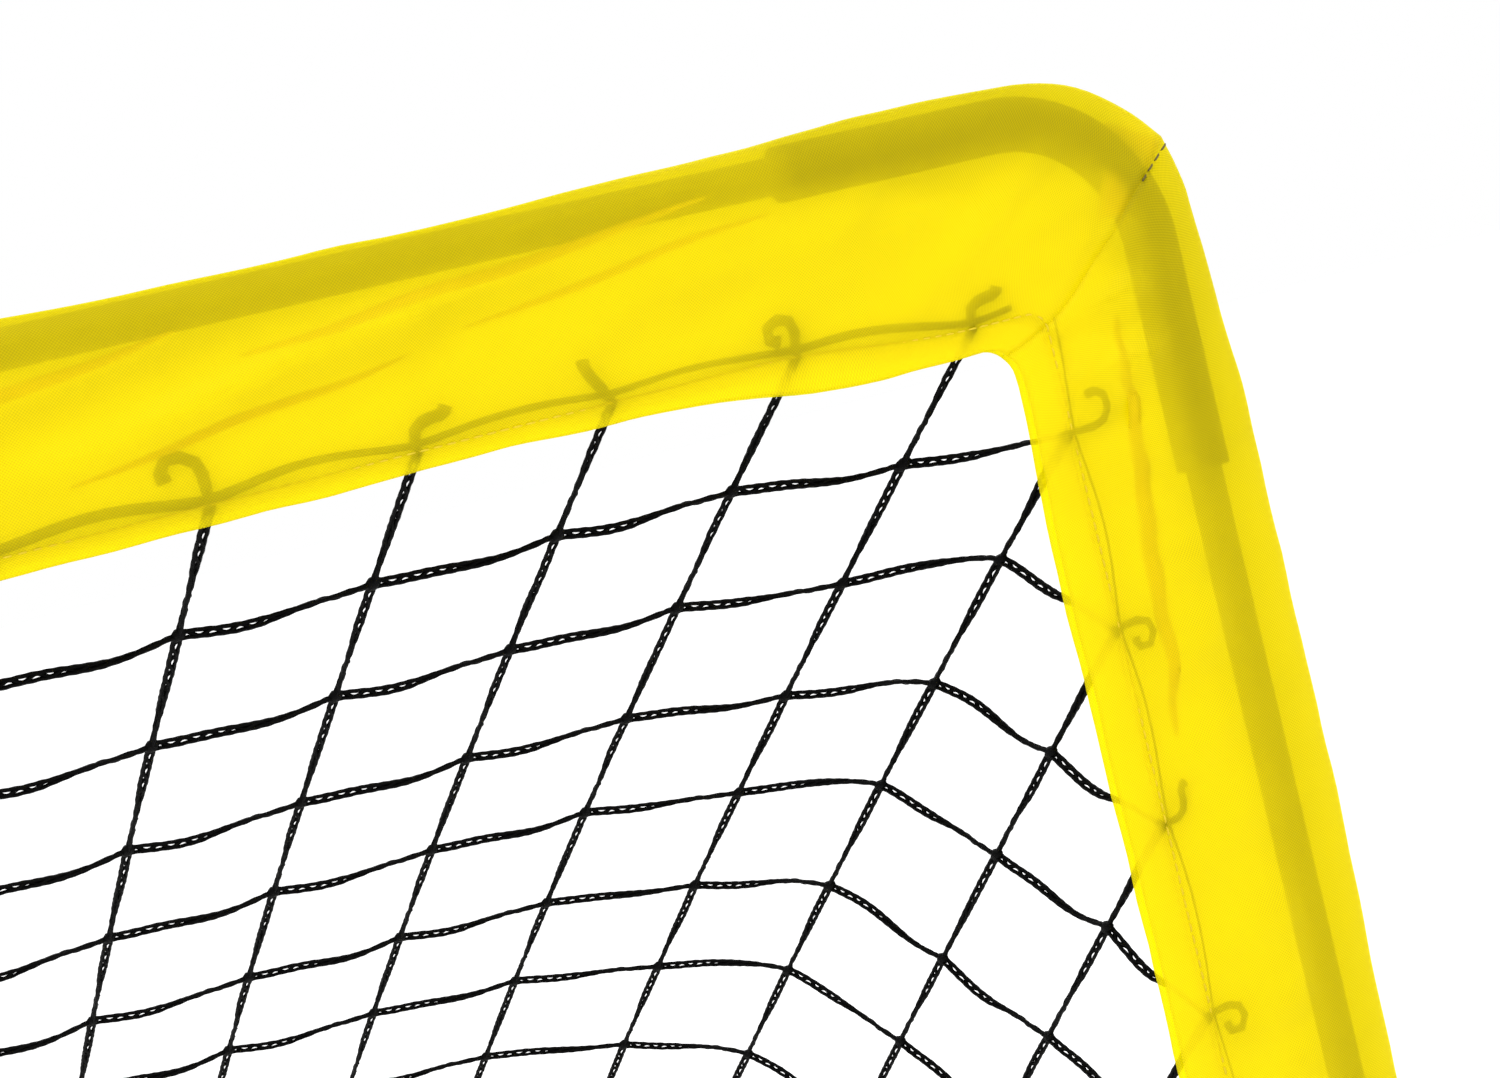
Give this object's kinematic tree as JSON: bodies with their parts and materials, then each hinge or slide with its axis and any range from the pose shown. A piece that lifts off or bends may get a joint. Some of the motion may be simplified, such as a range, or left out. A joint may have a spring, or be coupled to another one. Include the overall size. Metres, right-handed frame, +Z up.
{
  "type": "portable folding sports goal",
  "caption": "Folding sports goal: fibreglass front frame in a sewn yellow sleeve, steel ground frame, black square-mesh net; the frame hinges flat onto the base.",
  "frame": {"origin": "centre of the bounding box on the ground plane", "axes": "+X to the right seen from the mouth, +Y from the mouth towards the back of the net, +Z up"},
  "size_m": [1.8712, 1.1265, 1.2282],
  "materials": {
    "powder_coated_steel": "satin",
    "zinc_plated_steel": "satin",
    "fibreglass_rod": "satin",
    "moulded_nylon": "matte",
    "sleeve_polyester": "matte",
    "net_twine": "matte",
    "hem_webbing": "matte",
    "foot_rubber": "matte",
    "elastic_cord": "matte"
  },
  "bodies": {
    "base": {"side_rail_left": "powder_coated_steel", "side_rail_right": "powder_coated_steel", "rear_elbow_left": "powder_coated_steel", "rear_elbow_right": "powder_coated_steel", "rear_bar_left": "powder_coated_steel", "rear_bar_right": "powder_coated_steel", "rear_coupler": "powder_coated_steel", "hinge_bracket_left": "powder_coated_steel", "hinge_bracket_right": "powder_coated_steel", "pivot_bolts": "zinc_plated_steel", "pivot_nuts": "zinc_plated_steel", "pivot_washers": "zinc_plated_steel", "bracket_bolts": "zinc_plated_steel", "bracket_nuts": "zinc_plated_steel", "rail_end_plugs": "moulded_nylon", "rubber_feet": "foot_rubber", "snap_springs": "zinc_plated_steel", "back_net": "net_twine", "side_net_left": "net_twine", "side_net_right": "net_twine", "hem_tape_left": "hem_webbing", "hem_tape_rear": "hem_webbing", "hem_tape_right": "hem_webbing", "hem_straps": "hem_webbing"},
    "front_frame": {"post_socket_left": "moulded_nylon", "post_socket_right": "moulded_nylon", "post_rod_lower_left": "fibreglass_rod", "post_rod_lower_right": "fibreglass_rod", "post_rod_upper_left": "fibreglass_rod", "post_rod_upper_right": "fibreglass_rod", "post_ferrule_left": "zinc_plated_steel", "post_ferrule_right": "zinc_plated_steel", "top_elbow_left": "moulded_nylon", "top_elbow_right": "moulded_nylon", "crossbar_rods_left": "fibreglass_rod", "crossbar_rods_right": "fibreglass_rod", "crossbar_ferrules": "zinc_plated_steel", "shock_cord": "elastic_cord", "crossbar_sleeve": "sleeve_polyester", "post_sleeve_left": "sleeve_polyester", "post_sleeve_right": "sleeve_polyester", "crossbar_border_cord": "net_twine", "post_border_cord_left": "net_twine", "post_border_cord_right": "net_twine"},
    "rail_button_left": {"rail_button_left": "zinc_plated_steel"},
    "rail_button_right": {"rail_button_right": "zinc_plated_steel"},
    "bar_button_left": {"bar_button_left": "zinc_plated_steel"},
    "bar_button_right": {"bar_button_right": "zinc_plated_steel"},
    "coupler_button": {"coupler_button": "zinc_plated_steel"}
  },
  "joints": [
    {"name": "frame_fold", "type": "hinge", "parent": "base", "child": "front_frame", "pos_m": [0, -0.536, 0.046], "axis": [-1, 0, 0], "range_deg": [0, 88], "deforming": ["back_net", "side_net_left", "side_net_right"]},
    {"name": "rail_button_left_press", "type": "slide", "parent": "base", "child": "rail_button_left", "axis": [0, 0, -1], "range_m": [0, 0.004], "stiffness_N_per_m": 1200, "springref_m": -0.001, "deforming": ["snap_springs"]},
    {"name": "rail_button_right_press", "type": "slide", "parent": "base", "child": "rail_button_right", "axis": [0, 0, -1], "range_m": [0, 0.004], "stiffness_N_per_m": 1200, "springref_m": -0.001, "deforming": ["snap_springs"]},
    {"name": "bar_button_left_press", "type": "slide", "parent": "base", "child": "bar_button_left", "axis": [0, 0, -1], "range_m": [0, 0.004], "stiffness_N_per_m": 1200, "springref_m": -0.001, "deforming": ["snap_springs"]},
    {"name": "bar_button_right_press", "type": "slide", "parent": "base", "child": "bar_button_right", "axis": [0, 0, -1], "range_m": [0, 0.004], "stiffness_N_per_m": 1200, "springref_m": -0.001, "deforming": ["snap_springs"]},
    {"name": "coupler_button_press", "type": "slide", "parent": "base", "child": "coupler_button", "axis": [0, 0, -1], "range_m": [0, 0.004], "stiffness_N_per_m": 1200, "springref_m": -0.001, "deforming": ["snap_springs"]}
  ]
}
